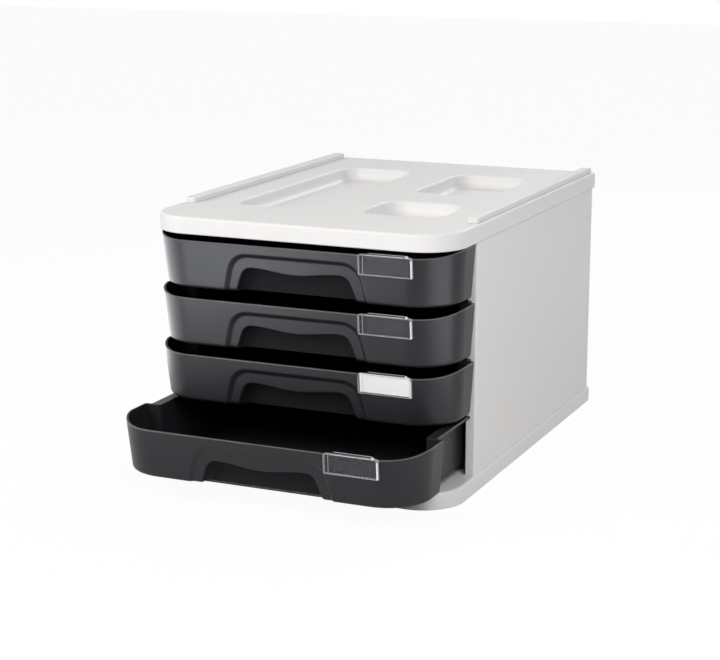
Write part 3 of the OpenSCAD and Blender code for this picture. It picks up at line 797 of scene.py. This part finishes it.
class DrawerForm:
    """Works out a drawer's surfaces. Its walls are one outline in plan that changes with height;
    its front is a grid whose columns fan out from the finger pocket's mouth."""

    junction = 96 * MM  # where the fanned front meets the wrapped sides
    pocket_rows = 12  # the front's last rows, inside the finger pocket
    corner_steps, turn_steps = 32, 6  # points round a front corner and round a smaller one
    inward_radius, tray_radius = 1.6 * MM, 3 * MM  # of the tray's corners, at the bay and the rear
    dip_from, dip_to = 121 * MM, 109 * MM  # across this the rear wall's rim dips
    climb_from = 1 * MM  # depth at which the rim starts to climb to the sides
    # rows over the pressed arch, from its outer edge at 0 to its inner one at 1
    press_steps = (-0.25, -0.05, 0.08, 0.2, 0.35, 0.5, 0.65, 0.8, 0.92, 1.05, 1.2)
    shoulders = np.array([[-7, 0, 12], [3, 8, 17]]) * MM  # an arch's growth and its shoulder
    sags = (0.5 * MM, 6 * MM), (1, 0)  # an arch's growth and the share of the sag that it keeps

    def __init__(self, sizes):
        self.d = d = sizes
        self.bay_half = PLATE_HIGH[0] - d.bay_inset
        lean = math.atan(d.front_taper / d.side_height)
        self.edge = d.side_height - d.front_dip / math.cos(lean)
        self.face_top = self.edge - d.flange - 0.6 * MM  # the outer front's upper row
        self.inner_top = self.edge - 1.6 * MM  # the inner front's
        s, c = quarter(6)
        self.low = d.bottom_round * (1 - c)  # heights up the bottom edge's rounding
        self.low_in = d.wall + d.inner_round * (1 - c)
        self.low_inset = d.bottom_round * (1 - s)
        self.low_in_inset = d.wall + d.inner_round * (1 - s)
        top_x = self.rect_half(self.low, self.face_top)
        self.front_x = top_x[top_x[:, 1] >= self.face_top - CLOSE][::-1, 0]  # centre to junction
        self.mark_columns()

    def mark_columns(self):
        """Gives each column of the outline its rim's height, marks those on the tray and picks
        those of the wrapped walls."""
        d = self.d
        dip = np.linspace(self.dip_from, self.dip_to, 9)
        self.rear_x = np.concatenate([dip, [60 * MM, 0.0]])
        xy = self.half_outline(d.side_height, 0.0, 0.0)
        count = self.per_half = len(xy)
        climb = np.clip((xy[:, 1] - self.climb_from) / d.rim_climb, 0, 1)
        rim = self.edge + (d.side_height - self.edge) * (climb + soft(climb)) / 2
        at_rear = np.arange(count) >= count - len(self.rear_x)
        dipped = soft((self.dip_from - xy[:, 0]) / (self.dip_from - self.dip_to))
        rim = rim - at_rear * d.rear_dip * dipped
        self.rim = np.concatenate([rim, rim[1:-1][::-1]])
        front = len(self.front_x)
        tray = np.arange(count) >= front + self.corner_steps + self.turn_steps
        tray &= ~at_rear
        self.tray = np.concatenate([tray, tray[1:-1][::-1]]).astype(float)
        self.wrap = np.arange(front - 1, 2 * count - front)

    def half_outline(self, z, inset, flange):
        """The right half of the outline, from the front's middle to the rear's middle: front,
        corner arc, side, rear corner, return wall, inward corner, tray side, corner, rear."""
        d = self.d
        small = self.turn_steps
        counts = [len(self.front_x), self.corner_steps, small, small, small, len(self.rear_x)]
        total = sum(counts)
        z, inset, flange = (np.broadcast_to(v, total) for v in (z, inset, flange))
        parts = np.split(np.arange(total), np.cumsum(counts)[:-1])
        face, corner, bay_rear, inward, tray_rear, rear = parts
        share = 1 - z / d.side_height
        half = self.bay_half - d.side_taper * share - inset
        front = d.front_taper * share + inset
        tray = d.tray_half + flange * (d.flange_half - d.tray_half) - inset
        bay, end = d.bay_depth - inset, d.tray_length - inset
        out = np.zeros((total, 2))

        def turn(k, x, y, r, start, stop):
            """Puts columns k on an arc; its centre and radius may differ from column to column."""
            a = np.radians(np.linspace(start, stop, len(k)))
            out[k] = np.stack([x[k] + r[k] * np.cos(a), y[k] + r[k] * np.sin(a)], -1)

        out[face] = np.stack([self.front_x, front[face]], -1)
        r = d.corner_radius - inset
        turn(corner, half - r, front + r, r, -90, 0)
        r = np.maximum(d.bay_rear_radius - inset, LEAST)
        turn(bay_rear, half - r, bay - r, r, 0, 90)
        r = self.inward_radius + inset
        turn(inward, tray + r, bay + r, r, 270, 180)
        r = np.maximum(self.tray_radius - inset, LEAST)
        turn(tray_rear, tray - r, end - r, r, 0, 90)
        out[rear] = np.stack([self.rear_x, end[rear]], -1)
        return out

    def loop(self, z, inset, flange=0.0):
        """The whole outline as (x, y, z) points. Z and inset may differ from column to column."""
        total = 2 * self.per_half - 2
        z, inset, flange = (np.broadcast_to(v, total) for v in (z, inset, flange))
        half = self.per_half
        right = self.half_outline(z[:half], inset[:half], flange[:half])
        left_at = np.concatenate([[0], np.arange(total - 1, half - 1, -1), [half - 1]])
        left = self.half_outline(z[left_at], inset[left_at], flange[left_at])[1:-1][::-1]
        return lift(np.concatenate([right, left * (-1, 1)]), z)

    def rect_half(self, low, top):
        """The fanned front's outer boundary as (x, z): up the junction and in along the top."""
        x, side, bend = self.junction, 24 * MM, 78 * MM  # the spacing changes at side and bend
        up = np.concatenate([low, np.linspace(low[-1], side, 7)[1:], np.linspace(side, top, 7)[1:]])
        across = np.concatenate([np.linspace(x, bend, 7)[1:], np.linspace(bend, 0, 17)[1:]])
        post = np.column_stack([np.full(len(up), x), up])
        beam = np.column_stack([across, np.full(len(across), top)])
        return np.concatenate([post, beam])

    def arch_half(self, low, grow, extra=0.0):
        """Half an arch as (x, z), grown from the mouth's and raised by extra: a leaning leg, a
        shoulder curved as a quadratic and a crown that sags as a cosine."""
        d = self.d
        foot, crown = d.mouth_foot + grow, d.mouth_crown + grow
        height = d.mouth_height + grow + extra
        shoulder = np.interp(grow, *self.shoulders)
        sag = d.mouth_sag * np.interp(grow, *self.sags)
        z = np.concatenate([low, np.linspace(low[-1], height - shoulder, 7)[1:]])
        leg = np.column_stack([foot + (crown - foot) * z / height, z])
        t = np.linspace(0, 1, 13)[1:, None]
        a, b, c = leg[-1], np.array([crown, height]), np.array([crown - shoulder, height])
        bend = a * (1 - t) ** 2 + 2 * b * t * (1 - t) + c * t**2
        t = np.linspace(0, 1, 17)[1:]
        top = np.column_stack([c[0] * (1 - t), height - sag * (1 - np.cos(np.pi * t)) / 2])
        return np.concatenate([leg, bend, top])

    @staticmethod
    def whole(half):
        """A half curve and its mirror image, from the right foot to the left foot."""
        return np.concatenate([half, half[:-1][::-1] * (-1, 1)])

    def front(self, inside):
        """The front as a grid. Its rows go from the outer boundary over the pressed arch and
        the lip into the pocket, and end along the foot of the pocket's back. Y is the front's
        lean, its rounded foot and the row's own depth."""
        d = self.d
        low = self.low_in if inside else self.low
        top = self.inner_top if inside else self.face_top
        wall, foot_round = (d.wall, d.inner_round) if inside else (0.0, d.bottom_round)
        rows = []

        def face_y(z):
            """Depth of the leaning face with its rounded foot, at height z."""
            short = np.clip(1 - (z - wall) / foot_round, 0, 1)
            rounded = foot_round * (1 - np.sqrt(1 - short**2))
            return d.front_taper * (1 - z / d.side_height) + wall + rounded

        def row(curve, y):
            """Takes in an (x, z) curve at depth y, which may differ from point to point."""
            rows.append(np.stack([curve[:, 0], np.broadcast_to(y, len(curve)), curve[:, 1]], -1))

        rect = self.whole(self.rect_half(low, top))
        row(rect, face_y(rect[:, 1]))
        extra = d.press_rise - d.press_out  # the pressed arch reaches further over the mouth
        press_from = self.arch_half(low, d.press_out, extra)
        press_to = self.arch_half(low, d.press_in, extra)
        for t in self.press_steps:
            curve = self.whole(press_from + (press_to - press_from) * t)
            curve[: len(low), 1] = low
            curve[-len(low) :, 1] = low[::-1]
            row(curve, face_y(curve[:, 1]) + d.press_depth * soft(t))
        e, r = d.mouth_edge, d.pocket_round
        s, c = quarter(6)
        for a, b in zip(s, c):
            curve = self.whole(self.arch_half(low, wall + e * (1 - a)))
            row(curve, face_y(curve[:, 1]) + d.press_depth + e * (1 - b))
        mouth = self.whole(self.arch_half(low, wall))
        start = face_y(mouth[:, 1]) + d.press_depth + e
        back = d.pocket_depth + wall
        for t in (0.33, 0.66, 1.0):
            row(mouth, start + (back - r - start) * t)
        for a, b in zip(s[1:], c[1:]):
            row(self.whole(self.arch_half(low, wall - r * (1 - b))), back - r + r * a)
        last = self.whole(self.arch_half(low, wall - r))
        for t in (0.3, 0.6, 0.85, 1.0):
            curve = last.copy()
            curve[:, 1] = wall + (last[:, 1] - wall) * (1 - t)
            row(curve, back)
        return np.stack(rows)

    def wrapped(self, low, low_inset, top, inset):
        """The walls round the sides and the rear, as rows up from the floor. Rows on the rounded
        foot are level. Those over it are spread up to the rim, which climbs from the front."""
        up = self.rect_half(low, top)
        up = up[up[:, 0] >= self.junction - CLOSE, 1]
        climb = self.rim - (self.edge - top) - low[-1]
        shares = (up[len(low) :] - low[-1]) / (top - low[-1])
        rows = [self.loop(z, i) for z, i in zip(low, low_inset)]
        rows += [self.loop(low[-1] + share * climb, inset) for share in shares]
        return np.stack(rows)[:, self.wrap]

    def build(self, shell):
        """The whole drawer as one closed surface: front, wrapped walls, rim, inside and floor."""
        d = self.d
        outer, inner = self.front(False), self.front(True)
        lip = len(outer) - self.pocket_rows
        shell.grid(outer[: lip + 1])
        # the pocket's rows take the darker charcoal, a painted shade
        shell.grid(outer[lip:], slot=2)
        shell.grid(inner)
        walls = self.wrapped(self.low, self.low_inset, self.face_top, 0.0)
        walls_in = self.wrapped(self.low_in, self.low_in_inset, self.inner_top, d.wall)
        shell.grid(walls)
        shell.grid(walls_in)
        s, c = quarter(5)
        r, r_in = d.rim_round, 0.75 * d.rim_round
        ease = 0.35 * MM  # chamfer of the flange's lower edge
        rim = [  # how far below the rim, how far in from the outline, and 1 out on the flange
            (self.edge - self.face_top, 0.0, 0.0),
            (d.flange, 0.0, 0.0),
            (d.flange, ease * self.tray, 1.0),
            (d.flange - ease, 0.0, 1.0),
        ]
        highlight_from = len(rim)  # the painted highlight starts on the rounding here
        rim += [(r * (1 - a), r * (1 - b), 1.0) for a, b in zip(s, c)]
        end = len(rim)
        rim += [(r_in * (1 - a), d.wall - r_in * (1 - b), 0.0) for a, b in zip(s[::-1], c[::-1])]
        rim += [(self.edge - self.inner_top, d.wall, 0.0)]
        loops = [self.loop(self.rim - down, inset, flange) for down, inset, flange in rim]
        shell.grid(loops[: highlight_from + 1], closed=True)
        shell.grid(loops[highlight_from:end], closed=True, slot=1)
        shell.grid(loops[end - 1 :], closed=True)
        for sheet, wrapped in ((outer, walls), (inner, walls_in)):
            # right foot into the pocket, across its back, out at the left foot, round the walls,
            # and without the points that stand twice
            edge = np.concatenate([sheet[:, 0], sheet[-1], sheet[::-1, -1], wrapped[0][::-1]])
            keep = np.linalg.norm(edge - np.roll(edge, 1, 0), axis=1) > 100 * CLOSE
            shell.flat(edge[keep])
        slack = 1.9 * MM  # a stop lug is narrower than its groove by this
        out, near = d.flange_half, d.flange_half - (d.groove_depth - slack)
        y0, y1 = d.lug_y, d.lug_y + d.lug_length
        z0, z1 = d.side_height - d.flange - d.lug, d.side_height - d.flange + BITE
        shell.bars([(near, y0, z0), (-out, y0, z0)], [(out, y1, z1), (-near, y1, z1)])


def drawer_place(n):
    """Where drawer n's own zero stands in the CAD frame."""
    d = bpy.context.scene.tray_drawer_sizes
    out = d.opened if n == len(DRAWERS) else 0.0
    return np.array([0.0, PLATE_LOW[1] + d.setback - out, drawer_height(n)])


def make_drawers():
    """Four drawers of one form."""
    m = finishes()
    coats = [m["charcoal_drawer"], m["rim_painted_highlight"], m["pocket_painted_shade"]]
    shell = Shell()
    DrawerForm(bpy.context.scene.tray_drawer_sizes).build(shell)
    for n in DRAWERS:
        piece = shell.make(f"drawer_{n}_shell", coats, drawer_place(n))
        finish(piece, f"drawer_{n}_body", "drawer", f"drawer_{n}")


# ---------------------------------------------------------------- labels


def on_front(points):
    """Leans upright points as the drawer's front leans, about its side height at Y = 0."""
    d = bpy.context.scene.tray_drawer_sizes
    lean = math.atan(d.front_taper / d.side_height)
    s, c = math.sin(lean), math.cos(lean)
    x, y, z = points[:, 0], points[:, 1], points[:, 2] - d.side_height
    return np.column_stack([x, y * c - z * s, y * s + z * c + d.side_height])


def frame_loop(x0, x1, z0, z1, y, top_radius):
    """An upright rectangle with rounded upper corners, as (x, y, z) points at depth y."""
    r, low_r = top_radius, 0.5 * MM
    flat = np.concatenate(
        [
            arc(x0 + low_r, z0 + low_r, low_r, 180, 270, 4),
            arc(x1 - low_r, z0 + low_r, low_r, 270, 360, 4),
            arc(x1 - r, z1 - r, r, 0, 90, 8),
            arc(x0 + r, z1 - r, r, 90, 180, 8),
        ]
    )
    return np.column_stack([flat[:, 0], np.full(len(flat), y), flat[:, 1]])


def holder_shell():
    """One label holder: two clear sheets in a ring whose right side is the widest, a hook over
    the drawer's edge and a stub beside it. Ring and sheets are outlines carried in depth, and
    the stub is a circle carried up and in. The ring, thin bars along its edges and the stub are
    clear plastic made paler, as painted highlights. All lean with the front."""
    d = bpy.context.scene.tray_drawer_sizes
    k = bpy.context.scene.tray_label_sizes
    lean = math.atan(d.front_taper / d.side_height)
    edge = d.side_height - d.front_dip / math.cos(lean)
    top, foot = edge + k.gap + k.sheet, edge - k.height
    back = -k.gap - k.sheet
    pocket = back - k.slot  # the card's slot lies between here and the back sheet
    window = pocket - k.sheet
    half, hook, line = k.width / 2, k.hook / 2, k.edge
    hair = 0.025 * MM  # keeps faces of two forms from lying in one plane
    film, rim, painted_highlight = 0, 1, 2  # material slots: the sheets' film, then the ring and the bars made paler as painted highlights

    def outline(y, inset):
        """The holder's outline at depth y, set in by a share of the ring's width."""
        left, right = -half + inset * line, half - inset * k.bar
        low, high = foot + inset * line, top - hair - inset * line
        return frame_loop(left, right, low, high, y, k.corner - inset * line)

    shell = Shell()
    face = window + hair
    ring = [(face, 0), (-k.gap, 0), (-k.gap, 1), (face, 1), (face, 0)]
    shell.grid([outline(y, i) for y, i in ring], closed=True, slot=rim)
    for y0, y1 in ((back, -k.gap), (window, pocket)):
        sheet = [outline(y, 0.9) for y in (y0 + 2 * hair, y1 - 2 * hair)]
        shell.grid(sheet, closed=True, slot=film)
        for loop in sheet:
            shell.flat(loop, slot=film)

    thin = 0.3 * MM  # thickness of the pale bars painted as highlights along the edges
    leg, rear = d.wall + k.gap, d.wall + k.gap + k.sheet
    step, bar = -half + k.channel, half - k.bar
    bars = {
        painted_highlight: [
            ((bar + BITE, window, foot + line), (half - BITE, window + thin, top - k.corner)),
            ((-hook, window, top - thin), (hook, window + thin, top)),
            ((-hook, rear - thin, top - thin), (hook, rear, top)),
        ],
        rim: [((step, window + BITE, foot + line), (step + thin, pocket, top - line))],
        film: [
            ((-hook, -k.gap, top - k.sheet), (hook, rear - hair, top - hair)),
            ((-hook, leg, edge - k.leg), (hook, rear - hair, top - k.sheet)),
        ],
    }
    for slot, ends in bars.items():
        shell.bars(*zip(*ends), slot=slot)

    s, c = quarter(5)
    stub_x, stub_y, r = hook + 2 * k.stub, window + k.stub + BITE, k.stub
    rise = [(r, top - line)] + [(r * b, top + thin + r * a) for a, b in zip(s[:-1], c[:-1])]
    stub = [lift(circle(stub_x, stub_y, radius, 16), z) for radius, z in rise]
    shell.grid(stub, closed=True, slot=painted_highlight)
    shell.flat(stub[0], slot=painted_highlight)
    shell.flat(stub[-1], slot=painted_highlight)
    middle = PLATE_HIGH[0] - k.margin - half
    shell.points = [on_front(points + (middle, 0, 0)) for points in shell.points]
    return shell


def make_holders():
    """Four label holders of one form."""
    m = finishes()
    clear = [m["clear_sheet"], m["clear_edge_highlight"], m["clear_bar_highlight"]]
    shell = holder_shell()
    for n in DRAWERS:
        piece = shell.make(f"label_holder_{n}_shell", clear, drawer_place(n), weighted=False)
        finish(piece, f"drawer_{n}_body", "holder", f"label_holder_{n}")


# ---------------------------------------------------------------- stage


def make_floor(f):
    """A pale floor that the camera sees white. Gloss shows it with a painted shade round the
    object:
    its own colour near the object, turning to white by 0.4 for each metre beyond 0.25 from the
    middle."""
    paint = Paint(bpy.data.materials.new("pale_floor"), "ShaderNodeOutputMaterial")
    cloth = paint.node("ShaderNodeBsdfDiffuse", {}, Color=tuple(f.floor))
    white = paint.node("ShaderNodeEmission", {}, Color=(1, 1, 1), Strength=1.0)
    away = paint.node("ShaderNodeVectorMath", {"operation": "LENGTH"}, in0=paint.place())
    # painted shade in reflections: the white fades out towards the object
    white_beyond_painted_shade = paint.clamp(0.4 * (paint.value(away, "Value") - 0.25))
    share = 0.95 * paint.white_seen(white_beyond_painted_shade)  # the rest of it keeps the object's shadow
    paint.surface(paint.mix_shaders(share, cloth, white))
    reach = np.linspace(-6, 6, 5)
    grid = np.stack(np.meshgrid(reach, reach), -1)
    shell = Shell()
    shell.grid(np.concatenate([grid, np.zeros((5, 5, 1))], -1))
    floor = shell.make("floor", [paint.owner], weighted=False)


def make_sky(f):
    """An even sky that the camera sees white, and gloss for the most part."""
    world = bpy.context.scene.world = bpy.data.worlds.new("sky")
    paint = Paint(world, "ShaderNodeOutputWorld")
    dim = paint.node("ShaderNodeBackground", {}, Color=(0.97, 0.985, 1), Strength=f.sky)
    white = paint.node("ShaderNodeBackground", {}, Color=(1, 1, 1), Strength=1.0)
    paint.surface(paint.mix_shaders(paint.white_seen(0.6), dim, white))


def add_lamp(name, place, target, size, power, tint, gloss=False, only=None):
    """A soft rectangular lamp that lights colour and doesn't show in gloss, or with gloss set
    the other way round. Where only is given, it reaches the pieces in that collection alone."""
    data = bpy.data.lights.new(name, "AREA")
    data.shape, data.size, data.size_y = "RECTANGLE", size[0], size[1]
    data.energy, data.color = power, tint
    lamp = bpy.data.objects.new(name, data)
    lamp.location = place
    lamp.rotation_mode = "QUATERNION"
    lamp.rotation_quaternion = (Vector(target) - Vector(place)).to_track_quat("-Z", "Y")
    lamp.visible_diffuse, lamp.visible_glossy = not gloss, gloss
    lamp.light_linking.receiver_collection = only
    bpy.context.scene.collection.objects.link(lamp)


def add_camera():
    """The camera at the photograph's angle. Its lens comes from a focal length in pixels."""
    sensor, focal_pixels, photo_width = 36.0, 1836.3, 720
    data = bpy.data.cameras.new("view")
    data.sensor_width, data.lens = sensor, focal_pixels / photo_width * sensor
    camera = bpy.data.objects.new("view", data)
    camera.location = (0.6653, -1.5571, 0.4990)
    camera.rotation_euler = (math.pi / 2 - 0.2300, 0.0, 0.4180)
    data.clip_start, data.clip_end = 0.05, 50
    bpy.context.scene.collection.objects.link(camera)
    bpy.context.scene.camera = camera


def make_stage():
    """The floor, the sky, soft lamps and the camera. Three panels that lie near the floor and
    face up put the long gleams on the drawers, and leave the pale housing alone."""
    f = bpy.context.scene.tray_finishes
    bpy.context.scene.view_settings.view_transform = "Standard"
    make_floor(f)
    make_sky(f)
    dark = bpy.data.collections.new("drawers")
    for n in DRAWERS:
        dark.objects.link(bpy.data.objects[f"drawer_{n}_shell"])
    warm, cool, plain = (1.0, 0.99, 0.98), (0.93, 0.97, 1.0), (1.0, 1.0, 1.0)
    middle = (0.0, -0.03, 0.12)
    add_lamp("key", (-0.88, -1.08, 0.95), middle, (1.3, 0.8), f.key, warm)
    add_lamp("side", (0.86, -0.98, 1.02), middle, (0.6, 0.9), f.side, warm)
    add_lamp("rear", (0.36, 1.45, 0.85), middle, (0.8, 0.4), f.rear, plain)
    add_lamp("top", (0.05, 0.55, 1.30), middle, (0.3, 0.3), f.top, plain)
    add_lamp("gleam", (0.02, 1.35, 1.12), middle, (0.7, 0.35), f.gleam, plain, gloss=True)
    panels = [
        ("sheen", -0.37, -0.80, (0.30, 0.50), f.sheen),
        ("edge", -0.72, 0.06, (0.7, 1.04), f.edge),
        ("glint", 0.60, -0.38, (0.46, 0.56), f.glint),
    ]
    for name, x, y, size, power in panels:
        add_lamp(name, (x, y, 0.01), (x, y, 1.0), size, power, cool, gloss=True, only=dark)
    add_camera()


# ---------------------------------------------------------------- operators


def finish_kept_parts():
    """Materials for the CAD nodes that stay: back panel, card and screws."""
    m = finishes()
    dress("back_panel", m["satin_housing"])
    dress("label_card", m["label_paper"])
    for n in SCREWS:
        dress(f"base_screw_{n}", m["screw_steel"])


class TRAY_STACK_OT_top_plate(bpy.types.Operator):
    """Build the top plate with its recesses"""

    bl_idname = "tray_stack.top_plate"
    bl_label = "Top plate"

    def execute(self, context):
        make_top_plate()
        return {"FINISHED"}


class TRAY_STACK_OT_base_plate(bpy.types.Operator):
    """Build the base plate with its shallow floor"""

    bl_idname = "tray_stack.base_plate"
    bl_label = "Base plate"

    def execute(self, context):
        make_base_plate()
        return {"FINISHED"}


class TRAY_STACK_OT_side_panels(bpy.types.Operator):
    """Build both side panels"""

    bl_idname = "tray_stack.side_panels"
    bl_label = "Side panels"

    def execute(self, context):
        make_side_panels()
        return {"FINISHED"}


class TRAY_STACK_OT_rails(bpy.types.Operator):
    """Build both stacking rails"""

    bl_idname = "tray_stack.rails"
    bl_label = "Stacking rails"

    def execute(self, context):
        make_rails()
        return {"FINISHED"}


class TRAY_STACK_OT_drawers(bpy.types.Operator):
    """Build the four drawers"""

    bl_idname = "tray_stack.drawers"
    bl_label = "Drawers"

    def execute(self, context):
        make_drawers()
        return {"FINISHED"}


class TRAY_STACK_OT_holders(bpy.types.Operator):
    """Build the four clear label holders"""

    bl_idname = "tray_stack.holders"
    bl_label = "Label holders"

    def execute(self, context):
        make_holders()
        return {"FINISHED"}


class TRAY_STACK_OT_kept_parts(bpy.types.Operator):
    """Finish the back panel, the label card and the screws"""

    bl_idname = "tray_stack.kept_parts"
    bl_label = "Kept parts"

    def execute(self, context):
        finish_kept_parts()
        return {"FINISHED"}


class TRAY_STACK_OT_stage(bpy.types.Operator):
    """Set the floor, the light and the camera"""

    bl_idname = "tray_stack.stage"
    bl_label = "Stage"

    def execute(self, context):
        make_stage()
        return {"FINISHED"}


STEPS = [
    TRAY_STACK_OT_top_plate,
    TRAY_STACK_OT_base_plate,
    TRAY_STACK_OT_side_panels,
    TRAY_STACK_OT_rails,
    TRAY_STACK_OT_drawers,
    TRAY_STACK_OT_holders,
    TRAY_STACK_OT_kept_parts,
    TRAY_STACK_OT_stage,
]


class TRAY_STACK_PT_panel(bpy.types.Panel):
    """Lists the sizes and the steps."""

    bl_label = "Tray stack"
    bl_idname = "TRAY_STACK_PT_panel"
    bl_space_type = "VIEW_3D"
    bl_region_type = "UI"
    bl_category = "Tray stack"

    def draw(self, context):
        for name in GROUPS:
            group = getattr(context.scene, name)
            box = self.layout.box()
            for key in group.__annotations__:
                box.prop(group, key)
        for step in STEPS:
            self.layout.operator(step.bl_idname)


GROUPS = {
    "tray_housing_sizes": TrayHousingSizes,
    "tray_drawer_sizes": TrayDrawerSizes,
    "tray_label_sizes": TrayLabelSizes,
    "tray_finishes": TrayFinishes,
}


def register():
    """Registers the sizes, the steps and the panel."""
    for cls in [*GROUPS.values(), *STEPS, TRAY_STACK_PT_panel]:
        bpy.utils.register_class(cls)
    for name, cls in GROUPS.items():
        setattr(bpy.types.Scene, name, bpy.props.PointerProperty(type=cls))


def unregister():
    """Takes the sizes, the steps and the panel away again."""
    for name in GROUPS:
        delattr(bpy.types.Scene, name)
    for cls in reversed([*GROUPS.values(), *STEPS, TRAY_STACK_PT_panel]):
        bpy.utils.unregister_class(cls)


def main():
    """Runs every step in order."""
    register()
    for step in STEPS:
        getattr(bpy.ops.tray_stack, step.bl_idname.split(".")[1])()


if __name__ == "__main__":
    main()
